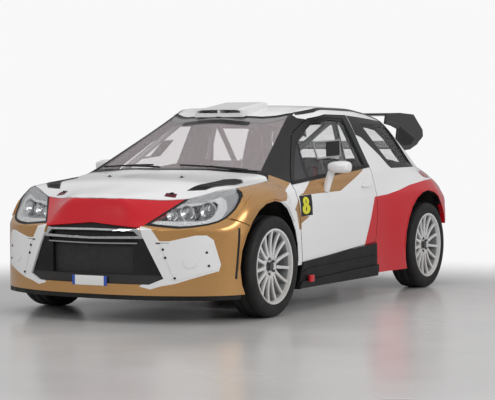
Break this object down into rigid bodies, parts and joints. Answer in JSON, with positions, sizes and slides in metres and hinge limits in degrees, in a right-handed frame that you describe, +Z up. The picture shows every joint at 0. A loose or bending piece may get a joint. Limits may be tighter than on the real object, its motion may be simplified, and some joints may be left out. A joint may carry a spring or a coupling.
{
  "type": "rally car",
  "caption": "Three-door rally hatchback with flared arches, roof scoop and rear wing; doors, bonnet and tailgate open, front wheels steer and all wheels roll.",
  "frame": {"origin": "on the ground under the middle of the car's box", "axes": "+Y towards the tail, +X towards the car's left side, +Z up"},
  "size_m": [2.06, 3.948, 1.401],
  "materials": {
    "white_paint": "gloss lacquer",
    "gold_paint": "metallic gloss lacquer",
    "black_trim": "satin moulded plastic",
    "window_glass": "clear",
    "screen_glass": "tinted laminated glass",
    "lamp_lens": "clear moulded lens",
    "tail_lens": "gloss red lens",
    "floor_steel": "satin paint on steel",
    "running_steel": "machined and shot blasted",
    "engine_aluminium": "cast",
    "cage_paint": "gloss paint on steel tube",
    "seat_fabric": "woven seat cloth",
    "dash_plastic": "flocked matte",
    "rim_paint": "gloss white paint",
    "tyre_rubber": "slick tread rubber",
    "exhaust_steel": "heat tinted steel",
    "grille_plastic": "gloss black moulding",
    "radiator_core": "black coated fins"
  },
  "bodies": {
    "chassis": {"body_side_left": "white_paint", "body_side_right": "white_paint", "dashboard": "dash_plastic", "engine": "engine_aluminium", "exhaust": "exhaust_steel", "floor_pan": "floor_steel", "front_bumper": "gold_paint", "front_fender_left": "gold_paint", "front_fender_right": "gold_paint", "front_subframe": "running_steel", "front_wheel_tubs": "floor_steel", "grille": "grille_plastic", "headlamps": "lamp_lens", "quarter_windows": "window_glass", "radiator": "radiator_core", "rear_axle": "running_steel", "rear_bumper": "white_paint", "rear_knuckle_left": "running_steel", "rear_knuckle_right": "running_steel", "rear_wheel_tubs": "floor_steel", "roll_cage": "cage_paint", "roof_panel": "white_paint", "roof_scoop": "white_paint", "scuttle": "black_trim", "seat_left": "seat_fabric", "seat_right": "seat_fabric", "side_skirts": "black_trim", "splitter": "black_trim", "steering_wheel": "dash_plastic", "sump_guard": "running_steel", "tail_lamps": "tail_lens", "windscreen": "screen_glass"},
    "bonnet_lid": {"bonnet": "white_paint"},
    "left_door": {"door_glass_left": "window_glass", "door_left": "white_paint", "mirror_left": "white_paint"},
    "right_door": {"door_glass_right": "window_glass", "door_right": "white_paint", "mirror_right": "white_paint"},
    "left_steering_knuckle": {"front_knuckle_left": "running_steel"},
    "right_steering_knuckle": {"front_knuckle_right": "running_steel"},
    "tailgate_lid": {"rear_window": "window_glass", "rear_wing": "black_trim", "tailgate": "white_paint"},
    "front_left_wheel": {"rim_front_left": "rim_paint", "tyre_front_left": "tyre_rubber"},
    "front_right_wheel": {"rim_front_right": "rim_paint", "tyre_front_right": "tyre_rubber"},
    "rear_left_wheel": {"rim_rear_left": "rim_paint", "tyre_rear_left": "tyre_rubber"},
    "rear_right_wheel": {"rim_rear_right": "rim_paint", "tyre_rear_right": "tyre_rubber"}
  },
  "joints": [
    {"name": "left_door_hinge", "type": "hinge", "parent": "chassis", "child": "left_door", "pos_m": [0.848, -0.808, 0.6], "axis": [0, 0, -1], "range_deg": [0, 65]},
    {"name": "right_door_hinge", "type": "hinge", "parent": "chassis", "child": "right_door", "pos_m": [-0.848, -0.808, 0.6], "axis": [0, 0, 1], "range_deg": [0, 65]},
    {"name": "bonnet_hinge", "type": "hinge", "parent": "chassis", "child": "bonnet_lid", "pos_m": [0, -0.992, 0.908], "axis": [-1, 0, 0], "range_deg": [0, 50]},
    {"name": "tailgate_hinge", "type": "hinge", "parent": "chassis", "child": "tailgate_lid", "pos_m": [0, 1.212, 1.316], "axis": [1, 0, 0], "range_deg": [0, 70]},
    {"name": "left_steering", "type": "hinge", "parent": "chassis", "child": "left_steering_knuckle", "pos_m": [0.738, -1.209, 0.2], "axis": [-0.1722, 0, 0.9851], "range_deg": [-30, 30]},
    {"name": "right_steering", "type": "hinge", "parent": "chassis", "child": "right_steering_knuckle", "pos_m": [-0.738, -1.209, 0.2], "axis": [0.1722, 0, 0.9851], "range_deg": [-30, 30]},
    {"name": "front_left_wheel_spin", "type": "hinge", "parent": "left_steering_knuckle", "child": "front_left_wheel", "pos_m": [0.809, -1.209, 0.325], "axis": [1, 0, 0], "continuous": true},
    {"name": "front_right_wheel_spin", "type": "hinge", "parent": "right_steering_knuckle", "child": "front_right_wheel", "pos_m": [-0.809, -1.209, 0.325], "axis": [1, 0, 0], "continuous": true},
    {"name": "rear_left_wheel_spin", "type": "hinge", "parent": "chassis", "child": "rear_left_wheel", "pos_m": [0.809, 1.252, 0.325], "axis": [1, 0, 0], "continuous": true},
    {"name": "rear_right_wheel_spin", "type": "hinge", "parent": "chassis", "child": "rear_right_wheel", "pos_m": [-0.809, 1.252, 0.325], "axis": [1, 0, 0], "continuous": true}
  ],
  "couplings": [
    {"joint": "right_steering", "follows": "left_steering", "ratio": 1}
  ]
}
